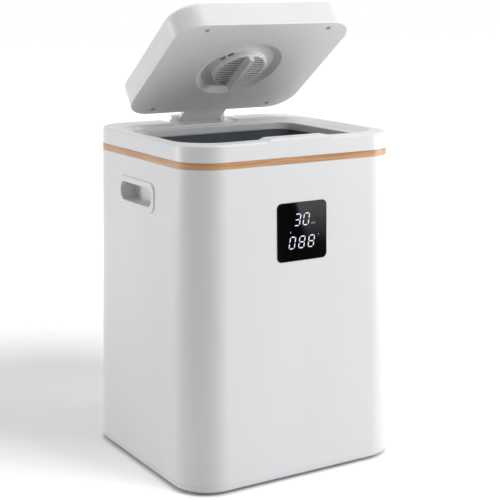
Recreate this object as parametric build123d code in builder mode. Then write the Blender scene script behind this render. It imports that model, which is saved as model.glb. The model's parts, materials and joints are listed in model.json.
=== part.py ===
from build123d import *
from math import atan, cos, degrees, radians, sin
import os

# Bucket towel warmer. Millimetres, +Z up, front at -Y, origin on the floor under the middle of the case.

# Case: a rounded rectangle that leans in towards the top
body_width = 290.0
body_depth = 268.0
body_height = 392.0
side_draft = 0.020
corner_at_floor = 46.0
corner_draft = 0.010
wall = 2.8
seam_round = 0.4
cut_margin = 1.0
match_tolerance = 0.01

# Base
foot_gap = 4.0
foot_radius = 10.0
foot_recess = 1.0
foot_edge_round = 1.0
foot_inset_x = 46.0
foot_inset_y = 46.0
base_seam = 11.0
base_floor = 3.0
base_edge_round = 3.5
spigot_height = 8.0
spigot_wall = 2.0
spigot_gap = 0.2
boss_radius = 5.0
boss_overlap = 1.0
boss_height = 34.0
boss_clearance = 1.5
screw_radius = 1.5
screw_clearance = 0.2
screw_head_radius = 3.0
screw_head_height = 2.0
base_screw_length = 20.0

# Wood band and rim
band_bottom = 365.5
band_height = 7.5
rim_wall = 5.0
rim_edge_round = 3.0
skirt_height = 18.0
skirt_wall = 2.0
ring_width = 20.0
deck_depth = 42.0
ledge_drop = 5.4
ledge_width = 10.0
ledge_plate = 3.0
recess_corner = 34.0
side_flare = 12.0
flare_corner = 44.0
recess_edge_round = 1.2
ledge_edge_round = 1.5
collar_wall = 4.0
collar_bottom = 378.0
lip_width = 73.0
lip_rise = 2.4
lip_ramp = 6.5

# Inner bucket and what is wrapped round it
bucket_setback = 1.0
bucket_wall = 1.5
bucket_bottom = 60.0
bucket_edge_round = 12.0
flange_width = 8.0
gasket_thickness = 1.0
rim_boss_radius = 4.0
rim_boss_spread = 55.0
wrap_gap = 0.1
heater_thickness = 0.8
heater_low = 78.0
heater_high = 294.0
sleeve_thickness = 4.0
sleeve_low = 74.0
sleeve_high = 298.0
post_radius = 7.0
post_x = 85.0
post_y = 62.0
pad_height = 2.0
pad_radius = 6.0

# Display
glass_size = 66.0
glass_corner = 6.0
glass_proud = 0.6
glass_centre = 289.5
glass_gap = 0.2
glass_edge_round = 0.4
bracket_lap = 6.0
bracket_seat = 4.0
bracket_corner = 8.0
bracket_thickness = 7.0
board_thickness = 1.6
board_corner = 2.0
board_setback = 2.0
led_width = 50.0
led_height = 36.0
led_centre = 8.0
led_glass_gap = 0.4
spring_row = -21.0
spring_pitch = 16.0
spring_radius = 2.5
spring_wall = 0.7
display_screw_inset = 5.5
display_screw_length = 5.0
beeper_radius = 4.5
beeper_height = 2.6

# Side handles
handle_centre = 324.5
handle_setback = 4.0
mouth_width = 76.0
mouth_height = 21.0
mouth_corner = 8.5
bezel_width = 90.0
bezel_height = 35.0
bezel_corner = 11.5
bezel_proud = 1.6
bezel_edge_round = 1.0
cup_wall = 2.0
cup_depth = 17.5
finger_room = 3.0
cup_lip = 4.0
cup_gap = 0.3

# Hinge
hinge_back_inset = 16.0
hinge_rise = 2.5
knuckle_radius = 5.0
pin_radius = 2.0
pin_gap = 0.05
pin_head_radius = 3.2
pin_head = 1.0
ear_centre = 33.5
ear_width = 6.5
knuckle_gap = 0.4
pin_reach = 6.0
notch_half_width = 43.0
notch_ramp = 3.0
notch_clearance = 0.5
arm_thickness = 4.0
arm_tongue = 18.0
ear_swing_gap = 2.5

# Lid, drawn closed and then swung open about the hinge
lid_open_angle = 36.0
lid_gap = 2.0
lid_rest_gap = 0.4
lid_height = 31.0
lid_wall = 2.5
lid_corner = 32.0
lid_edge_round = 6.0
lid_seam_rise = 3.0
lid_screw_inset_x = 35.0
lid_screw_inset_y = 10.5
lid_post_radius = 4.0
lid_screw_length = 12.0
lid_screw_recess = 5.0
screw_seat_thickness = 1.5
panel_edge_round = 1.0
arm_screw_inset = 9.0
arm_screw_count = 4
arm_screw_pitch = 16.0
arm_screw_grip = 2.2

# Fragrance cap and its dish
dish_radius = 53.0
dish_floor_radius = 44.0
dish_depth = 4.0
dish_edge_round = 2.5
dish_wall = 2.5
cap_radius = 33.0
cap_proud = 2.0
cap_wall = 2.0
cap_floor_gap = 0.3
cap_neck_radius = 30.0
cap_neck_gap = 0.3
lug_reach = 2.0
lug_height = 1.8
lug_width = 10.0
lug_count = 3
lug_angle = 30.0
lug_entry_angle = 90.0
slot_count = 12
slot_pitch = 4.8
slot_width = 2.2
slot_edge = 3.0
slot_bar_gap = 0.5
grip_width = 5.5
grip_height = 7.0
grip_flank = 2.5
grip_end_gap = 1.0
cap_edge_round = 1.2
cup_inner_radius = 38.0
cup_top_height = 15.0
fragrance_cup_wall = 2.0
fragrance_pad_height = 5.0
catch_angle = 222.0
catch_length = 7.5
catch_width = 3.4
catch_tab = 2.5
catch_rise = 3.0

# Power electronics under the bucket
power_board_width = 110.0
power_board_depth = 76.0
standoff_height = 8.0
standoff_radius = 3.5
standoff_screw_gap = 1.0
power_board_edge = 5.0
gland_height = 40.0
gland_radius = 6.0
gland_bore = 3.6
gland_flange_radius = 9.0
gland_flange = 1.5
gland_length = 16.0
gland_gap = 0.2
nut_radius = 9.0
nut_thickness = 4.0
thermostat_radius = 8.0
thermostat_height = 8.0
thermostat_tab = 1.0
thermostat_tab_length = 32.0
floor_part_spread = 34.0
sensor_radius = 3.0
sensor_length = 12.0
fuse_radius = 2.0
fuse_length = 14.0
fuse_clip_wall = 1.2
fuse_clip_width = 12.0

# Worked out from the sizes above
rim_bottom = band_bottom + band_height
ledge_height = body_height - ledge_drop
hinge_height = body_height + hinge_rise
rim_line = body_height
through_wall = 3 * wall


def half_width(z):
    """Half of the case's width at height z."""
    return body_width / 2 - side_draft * z


def half_depth(z):
    """Half of the case's depth at height z."""
    return body_depth / 2 - side_draft * z


def body_section(z, inset=0.0):
    """The case's outline at height z, moved in by inset."""
    radius = corner_at_floor - corner_draft * z - inset
    with BuildSketch(Plane.XY.offset(z)) as section:
        RectangleRounded(2 * (half_width(z) - inset), 2 * (half_depth(z) - inset), radius)
    return section.sketch


recess_width = 2 * (half_width(rim_line) - ring_width)
recess_length = 2 * half_depth(rim_line) - ring_width - deck_depth
well_y = (ring_width - deck_depth) / 2
collar_width = recess_width - 2 * ledge_width
collar_length = recess_length - 2 * ledge_width
collar_corner = recess_corner - ledge_width


def well_section(z, grow=0.0):
    """Outline of the rim's opening at height z, made larger by grow on every side."""
    with BuildSketch(Plane.XY.offset(z)) as section:
        with Locations((0, well_y)):
            RectangleRounded(collar_width + 2 * grow, collar_length + 2 * grow, collar_corner + grow)
    return section.sketch


def recess_mouth(z):
    """Outline of the lid's recess at height z, flared out to the sides."""
    with BuildSketch(Plane.XY.offset(z)) as section:
        with Locations((0, well_y)):
            RectangleRounded(recess_width + 2 * side_flare, recess_length, flare_corner)
    return section.sketch


def export(piece, name):
    """Label a finished piece and write it under its own name."""
    piece.part.label = name
    export_step(piece.part, f"parts/{name}.step")


draft_angle = degrees(atan(side_draft))
draft_cos = cos(radians(draft_angle))
draft_sin = sin(radians(draft_angle))


def front_plane(z):
    """Plane on the leaning front face at height z, facing out, with its y up."""
    return Plane(origin=(0, -half_depth(z), z), x_dir=(1, 0, 0), z_dir=(0, -draft_cos, draft_sin))


def side_plane(side, z):
    """Plane on a leaning side face at height z, facing out, with its y up."""
    return Plane(
        origin=(side * half_width(z), handle_setback, z),
        x_dir=(0, side, 0),
        z_dir=(side * draft_cos, 0, draft_sin),
    )


def outermost(piece, plane):
    """The face of a piece that lies furthest out along a plane's normal."""
    return piece.faces().sort_by(Axis(plane.origin, plane.z_dir))[-1]


def level_face(piece, z):
    """The largest level face of a piece at height z."""
    level = piece.faces().filter_by(Plane.XY)
    level = level.filter_by_position(Axis.Z, z - match_tolerance, z + match_tolerance)
    return level.sort_by(SortBy.AREA)[-1]


def four_corners(x, y, middle_y=0.0):
    """The corners of a rectangle of half width x and half depth y."""
    return [(sx * x, middle_y + sy * y) for sx in (-1, 1) for sy in (-1, 1)]


os.makedirs("parts", exist_ok=True)

# ---------------------------------------------------------------- base
corner_centre_x = half_width(0) - corner_at_floor
corner_centre_y = half_depth(0) - corner_at_floor
boss_reach = (corner_at_floor - wall - boss_radius + boss_overlap) * cos(radians(45))
# Case and base are screwed together at bosses in the corners
boss_points = four_corners(corner_centre_x + boss_reach, corner_centre_y + boss_reach)
foot_points = four_corners(half_width(0) - foot_inset_x, half_depth(0) - foot_inset_y)
post_points = four_corners(post_x, post_y, well_y)
base_top = foot_gap + base_floor
standoff_x = power_board_width / 2 - power_board_edge
standoff_y = power_board_depth / 2 - power_board_edge
standoff_points = four_corners(standoff_x, standoff_y)

with BuildPart() as base_plate:
    loft([body_section(foot_gap), body_section(base_seam)], ruled=True)
    fillet(base_plate.faces().sort_by(Axis.Z)[0].edges(), base_edge_round)
    fillet(base_plate.faces().sort_by(Axis.Z)[-1].edges(), seam_round)
    loft([body_section(base_top, wall), body_section(base_seam, wall)], ruled=True, mode=Mode.SUBTRACT)
    spigot_top = base_seam + spigot_height
    spigot_out = wall + spigot_gap
    loft([body_section(base_top, spigot_out), body_section(spigot_top, spigot_out)], ruled=True)
    spigot_in = spigot_out + spigot_wall
    loft(
        [body_section(base_top, spigot_in), body_section(spigot_top + cut_margin, spigot_in)],
        ruled=True,
        mode=Mode.SUBTRACT,
    )
    with BuildSketch(Plane.XY.offset(base_seam)):
        with Locations(*boss_points):
            Circle(boss_radius + boss_clearance)
    extrude(amount=spigot_height, mode=Mode.SUBTRACT)
    with BuildSketch(Plane.XY.offset(base_top)):
        with Locations(*boss_points):
            Circle(boss_radius)
    extrude(amount=base_seam - base_top)
    with BuildSketch(Plane.XY.offset(base_top)):
        with Locations(*post_points):
            Circle(post_radius)
    extrude(amount=bucket_bottom - pad_height - base_top)
    with BuildSketch(Plane.XY.offset(base_top)):
        with Locations(*standoff_points):
            Circle(standoff_radius)
    extrude(amount=standoff_height)
    with BuildSketch(Plane.XY.offset(base_top)):
        with Locations(*standoff_points):
            Circle(screw_radius)
    extrude(amount=standoff_height, mode=Mode.SUBTRACT)
    with BuildSketch(Plane.XY.offset(foot_gap)):
        with Locations(*foot_points):
            Circle(foot_radius)
    extrude(amount=foot_recess, mode=Mode.SUBTRACT)
    with BuildSketch(Plane.XY.offset(foot_gap)):
        with Locations(*boss_points):
            Circle(screw_radius + screw_clearance)
    extrude(amount=base_seam - foot_gap, mode=Mode.SUBTRACT)
    with BuildSketch(Plane.XY.offset(foot_gap)):
        with Locations(*boss_points):
            Circle(screw_head_radius + screw_clearance)
    extrude(amount=screw_head_height, mode=Mode.SUBTRACT)
export(base_plate, "base_plate")

with BuildPart() as rubber_feet:
    with BuildSketch():
        with Locations(*foot_points):
            Circle(foot_radius)
    extrude(amount=foot_gap + foot_recess)
    fillet(rubber_feet.edges().group_by(Axis.Z)[0], foot_edge_round)
export(rubber_feet, "rubber_feet")

with BuildPart() as base_screws:
    with BuildSketch(Plane.XY.offset(foot_gap)):
        with Locations(*boss_points):
            Circle(screw_head_radius)
    extrude(amount=screw_head_height)
    with BuildSketch(Plane.XY.offset(foot_gap + screw_head_height)):
        with Locations(*boss_points):
            Circle(screw_radius)
    extrude(amount=base_screw_length)
export(base_screws, "base_screws")

# ---------------------------------------------------------------- case
cup_height = mouth_height + finger_room + 2 * cup_wall
cup_rise = finger_room / 2
back_face = half_depth(gland_height + gland_flange_radius)
back_plane = Plane(origin=(0, back_face, gland_height), x_dir=(-1, 0, 0), z_dir=(0, 1, 0))

with BuildPart() as outer_shell:
    loft([body_section(base_seam), body_section(band_bottom)], ruled=True)
    fillet(outer_shell.faces().sort_by(Axis.Z)[0].edges(), seam_round)
    fillet(outer_shell.faces().sort_by(Axis.Z)[-1].edges(), seam_round)
    loft([body_section(base_seam, wall), body_section(band_bottom, wall)], ruled=True, mode=Mode.SUBTRACT)
    with BuildSketch(Plane.XY.offset(base_seam)):
        with Locations(*boss_points):
            Circle(boss_radius)
    extrude(amount=boss_height)
    with BuildSketch(Plane.XY.offset(base_seam)):
        with Locations(*boss_points):
            Circle(screw_radius + pin_gap)
    extrude(amount=base_screw_length, mode=Mode.SUBTRACT)
    with BuildSketch(front_plane(glass_centre)):
        RectangleRounded(glass_size + 2 * glass_gap, glass_size + 2 * glass_gap, glass_corner + glass_gap)
    extrude(amount=through_wall, both=True, mode=Mode.SUBTRACT)
    for side in (-1, 1):
        with BuildSketch(side_plane(side, handle_centre)):
            with Locations((0, cup_rise)):
                Rectangle(mouth_width + 2 * cup_wall + 2 * cup_gap, cup_height + 2 * cup_gap)
                fillet(vertices(), mouth_corner + cup_wall + cup_gap)
        extrude(amount=through_wall, both=True, mode=Mode.SUBTRACT)
    with BuildSketch(back_plane):
        Circle(gland_radius + gland_gap)
    extrude(amount=through_wall, both=True, mode=Mode.SUBTRACT)
    with BuildSketch(back_plane.offset(-gland_flange)):
        Circle(gland_flange_radius + gland_gap)
    extrude(amount=through_wall, mode=Mode.SUBTRACT)
export(outer_shell, "outer_shell")

with BuildPart() as wood_band:
    loft([body_section(band_bottom), body_section(rim_bottom)], ruled=True)
    fillet(wood_band.faces().sort_by(Axis.Z)[0].edges(), seam_round)
    fillet(wood_band.faces().sort_by(Axis.Z)[-1].edges(), seam_round)
    loft([body_section(band_bottom, wall), body_section(rim_bottom, wall)], ruled=True, mode=Mode.SUBTRACT)
export(wood_band, "wood_band")

# ---------------------------------------------------------------- side handles
for side, name in ((-1, "left_handle_cup"), (1, "right_handle_cup")):
    face = side_plane(side, handle_centre)
    with BuildPart() as handle_cup:
        with BuildSketch(face.offset(-cup_depth - cup_wall)):
            with Locations((0, cup_rise)):
                RectangleRounded(mouth_width + 2 * cup_wall, cup_height, mouth_corner + cup_wall)
        extrude(amount=cup_depth + cup_wall)
        with BuildSketch(face):
            RectangleRounded(bezel_width, bezel_height, bezel_corner)
        extrude(amount=bezel_proud)
        fillet(outermost(handle_cup, face).edges(), bezel_edge_round)
        with BuildSketch(face.offset(-cup_depth)):
            with Locations((0, cup_rise)):
                RectangleRounded(mouth_width, mouth_height + finger_room, mouth_corner)
        extrude(amount=cup_depth - cup_lip, mode=Mode.SUBTRACT)
        with BuildSketch(face.offset(-cup_depth)):
            RectangleRounded(mouth_width, mouth_height, mouth_corner)
        extrude(amount=cup_depth + bezel_proud, mode=Mode.SUBTRACT)
        fillet(outermost(handle_cup, face).inner_wires()[0].edges(), bezel_edge_round)
    export(handle_cup, name)

# ---------------------------------------------------------------- hinge places
hinge_y = half_depth(rim_line) - hinge_back_inset
hinge_axis_plane = Plane(origin=(0, hinge_y, hinge_height), x_dir=(0, 1, 0), z_dir=(1, 0, 0))
notch_floor = hinge_height - knuckle_radius - notch_clearance
ear_inner = ear_centre - ear_width / 2
ear_outer = ear_centre + ear_width / 2
barrel_end = ear_inner - knuckle_gap
pin_inner = barrel_end - pin_reach
pin_outer = ear_outer + pin_gap

# ---------------------------------------------------------------- rim
lip_half = lip_width / 2
rim_top = rim_line + lip_rise

with BuildPart() as front_lip:
    loft([body_section(ledge_height), body_section(rim_top)], ruled=True)
    fillet(front_lip.faces().sort_by(Axis.Z)[-1].edges(), rim_edge_round)
    loft(
        [
            well_section(ledge_height - cut_margin, ledge_width),
            well_section(rim_top + cut_margin, ledge_width),
        ],
        mode=Mode.SUBTRACT,
    )
    with BuildSketch(Plane.XZ):
        with BuildLine():
            Polyline(
                (-lip_half, rim_top),
                (-lip_half - lip_ramp, rim_line),
                (-lip_half - lip_ramp, ledge_height),
                (lip_half + lip_ramp, ledge_height),
                (lip_half + lip_ramp, rim_line),
                (lip_half, rim_top),
                close=True,
            )
        make_face()
    extrude(amount=body_depth, mode=Mode.INTERSECT)

rim_screw_x = collar_width / 2 + bucket_setback + bucket_wall + flange_width / 2
rim_screw_y = collar_length / 2 + bucket_setback + bucket_wall + flange_width / 2
rim_screw_points = four_corners(rim_screw_x, rim_boss_spread, well_y)
rim_screw_points += [(0, well_y + sy * rim_screw_y) for sy in (-1, 1)]

with BuildPart() as top_rim:
    loft([body_section(rim_bottom), body_section(rim_line)], ruled=True)
    fillet(top_rim.faces().sort_by(Axis.Z)[-1].edges(), rim_edge_round)
    fillet(top_rim.faces().sort_by(Axis.Z)[0].edges(), seam_round)
    loft(
        [body_section(rim_bottom, rim_wall), body_section(ledge_height - ledge_plate, rim_wall)],
        ruled=True,
        mode=Mode.SUBTRACT,
    )
    loft([well_section(collar_bottom, collar_wall), well_section(ledge_height, collar_wall)])
    with BuildSketch(Plane.XY.offset(collar_bottom)):
        with Locations(*rim_screw_points):
            Circle(rim_boss_radius)
    extrude(amount=ledge_height - collar_bottom)
    loft([well_section(ledge_height, ledge_width), recess_mouth(rim_line)], mode=Mode.SUBTRACT)
    fillet(level_face(top_rim, rim_line).inner_wires()[0].edges(), recess_edge_round)
    loft([well_section(collar_bottom), well_section(rim_top)], mode=Mode.SUBTRACT)
    fillet(level_face(top_rim, ledge_height).inner_wires()[0].edges(), ledge_edge_round)
    skirt_out = wall + spigot_gap
    loft(
        [body_section(rim_bottom - skirt_height, skirt_out), body_section(rim_bottom, skirt_out)],
        ruled=True,
    )
    loft(
        [
            body_section(rim_bottom - skirt_height, skirt_out + skirt_wall),
            body_section(rim_bottom, skirt_out + skirt_wall),
        ],
        ruled=True,
        mode=Mode.SUBTRACT,
    )
    with BuildSketch(Plane.XZ.offset(-body_depth)):
        with BuildLine():
            Polyline(
                (-notch_half_width, notch_floor),
                (notch_half_width, notch_floor),
                (notch_half_width + notch_ramp, rim_top),
                (-notch_half_width - notch_ramp, rim_top),
                close=True,
            )
        make_face()
    extrude(amount=body_depth, mode=Mode.SUBTRACT)
    for side in (-1, 1):
        with BuildSketch(hinge_axis_plane.offset(side * ear_centre - ear_width / 2)):
            Circle(knuckle_radius)
            with Locations((0, (notch_floor - hinge_height) / 2)):
                Rectangle(2 * knuckle_radius, hinge_height - notch_floor)
        extrude(amount=ear_width)
    with BuildSketch(hinge_axis_plane.offset(-ear_outer - cut_margin)):
        Circle(pin_radius + pin_gap)
    extrude(amount=2 * (ear_outer + cut_margin), mode=Mode.SUBTRACT)
    with BuildSketch(Plane.XY.offset(collar_bottom)):
        with Locations(*rim_screw_points):
            Circle(screw_radius + pin_gap)
    extrude(amount=ledge_height - ledge_plate - collar_bottom, mode=Mode.SUBTRACT)
    add(front_lip.part)
export(top_rim, "top_rim")

with BuildPart() as hinge_pins:
    for side in (-1, 1):
        first = min(side * pin_inner, side * pin_outer)
        with BuildSketch(hinge_axis_plane.offset(first)):
            Circle(pin_radius)
        extrude(amount=pin_outer - pin_inner)
        head = pin_outer if side > 0 else -pin_outer - pin_head
        with BuildSketch(hinge_axis_plane.offset(head)):
            Circle(pin_head_radius)
        extrude(amount=pin_head)
export(hinge_pins, "hinge_pins")

# ---------------------------------------------------------------- inner bucket
flange_top = collar_bottom - gasket_thickness
bucket_out = bucket_setback + bucket_wall

with BuildPart() as bucket_cavity:
    cavity_floor = bucket_bottom + bucket_wall
    loft([well_section(cavity_floor, bucket_setback), well_section(flange_top, bucket_setback)])
    fillet(bucket_cavity.faces().sort_by(Axis.Z)[0].edges(), bucket_edge_round - bucket_wall)

with BuildPart() as inner_bucket:
    loft([well_section(bucket_bottom, bucket_out), well_section(flange_top, bucket_out)])
    fillet(inner_bucket.faces().sort_by(Axis.Z)[0].edges(), bucket_edge_round)
    with BuildSketch(Plane.XY.offset(flange_top - bucket_wall)):
        add(well_section(0, bucket_out + flange_width))
    extrude(amount=bucket_wall)
    with BuildSketch(Plane.XY.offset(flange_top - bucket_wall)):
        with Locations(*rim_screw_points):
            Circle(screw_radius + screw_clearance)
    extrude(amount=bucket_wall, mode=Mode.SUBTRACT)
    add(bucket_cavity.part, mode=Mode.SUBTRACT)
export(inner_bucket, "inner_bucket")

with BuildPart() as bucket_gasket:
    with BuildSketch(Plane.XY.offset(flange_top)):
        add(well_section(0, bucket_out + flange_width))
        add(well_section(0, bucket_setback), mode=Mode.SUBTRACT)
        with Locations(*rim_screw_points):
            Circle(screw_radius + screw_clearance, mode=Mode.SUBTRACT)
    extrude(amount=gasket_thickness)
export(bucket_gasket, "bucket_gasket")

with BuildPart() as rim_screws:
    with BuildSketch(Plane.XY.offset(flange_top - bucket_wall - screw_head_height)):
        with Locations(*rim_screw_points):
            Circle(screw_head_radius)
    extrude(amount=screw_head_height)
    with BuildSketch(Plane.XY.offset(flange_top - bucket_wall)):
        with Locations(*rim_screw_points):
            Circle(screw_radius)
    extrude(amount=ledge_height - ledge_plate - flange_top)
export(rim_screws, "rim_screws")

with BuildPart() as bucket_pads:
    with BuildSketch(Plane.XY.offset(bucket_bottom - pad_height)):
        with Locations(*post_points):
            Circle(pad_radius)
    extrude(amount=pad_height)
export(bucket_pads, "bucket_pads")


def wrap(low, high, inner, thickness):
    """A sleeve round the bucket from low to high, standing off its wall by inner."""
    near = bucket_out + inner
    far = near + thickness
    with BuildPart() as sleeve:
        loft([well_section(low, far), well_section(high, far)])
        loft([well_section(low, near), well_section(high, near)], mode=Mode.SUBTRACT)
    return sleeve


heating_film = wrap(heater_low, heater_high, wrap_gap, heater_thickness)
export(heating_film, "heating_film")
sleeve_inner = 2 * wrap_gap + heater_thickness
insulation_sleeve = wrap(sleeve_low, sleeve_high, sleeve_inner, sleeve_thickness)
export(insulation_sleeve, "insulation_sleeve")

# ---------------------------------------------------------------- display
display_face = front_plane(glass_centre)
board_level = -wall - bracket_thickness
bracket_size = glass_size + 2 * bracket_lap
bracket_opening = glass_size - 2 * bracket_seat
display_board_size = bracket_size - 2 * board_setback
display_screw_spread = bracket_size / 2 - display_screw_inset

with BuildPart() as display_glass:
    with BuildSketch(display_face.offset(-wall)):
        RectangleRounded(glass_size, glass_size, glass_corner)
    extrude(amount=wall + glass_proud)
    fillet(outermost(display_glass, display_face).edges(), glass_edge_round)
export(display_glass, "display_glass")

display_screw_points = four_corners(display_screw_spread, display_screw_spread)
with BuildPart() as display_bracket:
    with BuildSketch(display_face.offset(board_level)):
        RectangleRounded(bracket_size, bracket_size, bracket_corner)
        Rectangle(bracket_opening, bracket_opening, mode=Mode.SUBTRACT)
        with Locations(*display_screw_points):
            Circle(screw_radius + pin_gap, mode=Mode.SUBTRACT)
    extrude(amount=bracket_thickness)
export(display_bracket, "display_bracket")

with BuildPart() as control_board:
    with BuildSketch(display_face.offset(board_level - board_thickness)):
        RectangleRounded(display_board_size, display_board_size, board_corner)
        with Locations(*display_screw_points):
            Circle(screw_radius + pin_gap, mode=Mode.SUBTRACT)
    extrude(amount=board_thickness)
export(control_board, "control_board")

with BuildPart() as board_screws:
    with BuildSketch(display_face.offset(board_level - board_thickness - screw_head_height)):
        with Locations(*display_screw_points):
            Circle(screw_head_radius)
    extrude(amount=screw_head_height)
    with BuildSketch(display_face.offset(board_level - board_thickness)):
        with Locations(*display_screw_points):
            Circle(screw_radius)
    extrude(amount=board_thickness + display_screw_length)
export(board_screws, "board_screws")

with BuildPart() as led_module:
    with BuildSketch(display_face.offset(board_level)):
        with Locations((0, led_centre)):
            Rectangle(led_width, led_height)
    extrude(amount=bracket_thickness - led_glass_gap)
export(led_module, "led_module")

with BuildPart() as touch_springs:
    with BuildSketch(display_face.offset(board_level)):
        with Locations((-spring_pitch, spring_row), (0, spring_row), (spring_pitch, spring_row)):
            Circle(spring_radius)
            Circle(spring_radius - spring_wall, mode=Mode.SUBTRACT)
    extrude(amount=bracket_thickness)
export(touch_springs, "touch_springs")

with BuildPart() as beeper:
    with BuildSketch(display_face.offset(board_level - board_thickness - beeper_height)):
        with Locations((0, spring_row)):
            Circle(beeper_radius)
    extrude(amount=beeper_height)
export(beeper, "beeper")

# ---------------------------------------------------------------- power electronics
power_board_level = base_top + standoff_height

with BuildPart() as power_board:
    with BuildSketch(Plane.XY.offset(power_board_level)):
        RectangleRounded(power_board_width, power_board_depth, board_corner)
        with Locations(*standoff_points):
            Circle(screw_radius + screw_clearance, mode=Mode.SUBTRACT)
    extrude(amount=board_thickness)
export(power_board, "power_board")

components_level = power_board_level + board_thickness
with BuildPart() as power_board_screws:
    with BuildSketch(Plane.XY.offset(components_level)):
        with Locations(*standoff_points):
            Circle(screw_head_radius)
    extrude(amount=screw_head_height)
    with BuildSketch(Plane.XY.offset(base_top + standoff_screw_gap)):
        with Locations(*standoff_points):
            Circle(screw_radius - pin_gap)
    extrude(amount=components_level - base_top - standoff_screw_gap)
export(power_board_screws, "power_board_screws")

# Boxes on the board: x, y, length, breadth and height
relay = (-36.0, 12.0, 19.0, 15.5, 15.0)
transformer = (-4.0, 10.0, 28.0, 24.0, 21.0)
terminal_block = (30.0, 22.0, 30.0, 10.0, 13.0)
heat_sink = (30.0, -18.0, 12.0, 18.0, 20.0)
# Cans on the board: x, y, radius and height
supply_capacitor = (-34.0, -18.0, 8.0, 20.0)
input_capacitor = (-8.0, -20.0, 5.0, 16.0)
output_capacitor = (8.0, -22.0, 5.0, 16.0)
with BuildPart() as board_components:
    for x, y, length, breadth, height in (relay, transformer, terminal_block, heat_sink):
        with BuildSketch(Plane.XY.offset(components_level)):
            with Locations((x, y)):
                Rectangle(length, breadth)
        extrude(amount=height)
    for x, y, radius, height in (supply_capacitor, input_capacitor, output_capacitor):
        with BuildSketch(Plane.XY.offset(components_level)):
            with Locations((x, y)):
                Circle(radius)
        extrude(amount=height)
export(board_components, "board_components")

with BuildPart() as cord_gland:
    with BuildSketch(back_plane.offset(-gland_flange)):
        Circle(gland_flange_radius)
    extrude(amount=gland_flange)
    with BuildSketch(back_plane.offset(-gland_length)):
        Circle(gland_radius)
    extrude(amount=gland_length)
    with BuildSketch(back_plane.offset(-gland_length)):
        Circle(gland_bore)
    extrude(amount=gland_length, mode=Mode.SUBTRACT)
export(cord_gland, "cord_gland")

nut_face = back_face - half_depth(gland_height - nut_radius) + wall + side_draft * 2 * nut_radius
with BuildPart() as gland_nut:
    with BuildSketch(back_plane.offset(-nut_face - nut_thickness - wall)):
        RegularPolygon(nut_radius, 6)
        Circle(gland_radius + pin_gap, mode=Mode.SUBTRACT)
    extrude(amount=nut_thickness)
export(gland_nut, "gland_nut")

# Thermostat, thermal fuse in its clip, and temperature sensor, all under the bucket's floor
with BuildPart() as thermostat:
    with BuildSketch(Plane.XY.offset(bucket_bottom - thermostat_height)):
        with Locations((0, well_y)):
            Circle(thermostat_radius)
    extrude(amount=thermostat_height)
    with BuildSketch(Plane.XY.offset(bucket_bottom - thermostat_tab)):
        with Locations((0, well_y)):
            SlotOverall(thermostat_tab_length, thermostat_radius)
    extrude(amount=thermostat_tab)
export(thermostat, "thermostat")

fuse_y = well_y + floor_part_spread
fuse_level = bucket_bottom - fuse_radius - fuse_clip_wall
fuse_plane = Plane(origin=(-fuse_length / 2, fuse_y, fuse_level), x_dir=(0, 1, 0), z_dir=(1, 0, 0))
with BuildPart() as thermal_fuse:
    with BuildSketch(fuse_plane):
        Circle(fuse_radius)
    extrude(amount=fuse_length)
export(thermal_fuse, "thermal_fuse")

with BuildPart() as fuse_clip:
    with BuildSketch(fuse_plane.offset(fuse_length / 4)):
        Circle(fuse_radius + pin_gap + fuse_clip_wall)
        with Locations((0, fuse_radius + fuse_clip_wall / 2)):
            Rectangle(fuse_clip_width, fuse_clip_wall)
        Circle(fuse_radius + pin_gap, mode=Mode.SUBTRACT)
        with Locations((0, fuse_radius + 2 * fuse_clip_wall)):
            Rectangle(fuse_clip_width + 2 * cut_margin, 2 * fuse_clip_wall, mode=Mode.SUBTRACT)
    extrude(amount=fuse_length / 2)
export(fuse_clip, "fuse_clip")

with BuildPart() as temperature_sensor:
    with BuildSketch(Plane.XY.offset(bucket_bottom - sensor_length)):
        with Locations((0, well_y - floor_part_spread)):
            Circle(sensor_radius)
    extrude(amount=sensor_length)
export(temperature_sensor, "temperature_sensor")

# ---------------------------------------------------------------- lid
lid_width = recess_width - 2 * lid_gap
lid_length = recess_length - 2 * lid_gap
lid_under = ledge_height + lid_rest_gap - hinge_height
lid_seam = lid_under + lid_seam_rise
lid_top = lid_under + lid_height
lid_reach = hinge_y - well_y
open_cos = cos(radians(lid_open_angle))
open_sin = sin(radians(lid_open_angle))
lid_plane = Plane(
    origin=(0, hinge_y - lid_reach * open_cos, hinge_height + lid_reach * open_sin),
    x_dir=(1, 0, 0),
    z_dir=(0, open_sin, open_cos),
)
lid_screw_x = lid_width / 2 - lid_screw_inset_x
lid_screw_y = lid_length / 2 - lid_screw_inset_y
lid_screw_points = four_corners(lid_screw_x, lid_screw_y)


def lid_section(level, inset=0.0):
    """The lid's outline at a level above the hinge axis, moved in by inset."""
    with BuildSketch(lid_plane.offset(level)) as section:
        RectangleRounded(lid_width - 2 * inset, lid_length - 2 * inset, lid_corner - inset)
    return section.sketch


def lid_circle(level, radius):
    """A circle on the lid's centre line at a level above the hinge axis."""
    with BuildSketch(lid_plane.offset(level)) as section:
        Circle(radius)
    return section.sketch


def circles(piece, radius):
    """The round edges of a piece that have the given radius."""
    round_edges = piece.edges().filter_by(GeomType.CIRCLE)
    return round_edges.filter_by(lambda edge: abs(edge.radius - radius) < match_tolerance)


arm_low = lid_seam
arm_high = arm_low + arm_thickness
screw_seat = lid_under + lid_screw_recess
post_start = screw_seat + screw_seat_thickness

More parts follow.
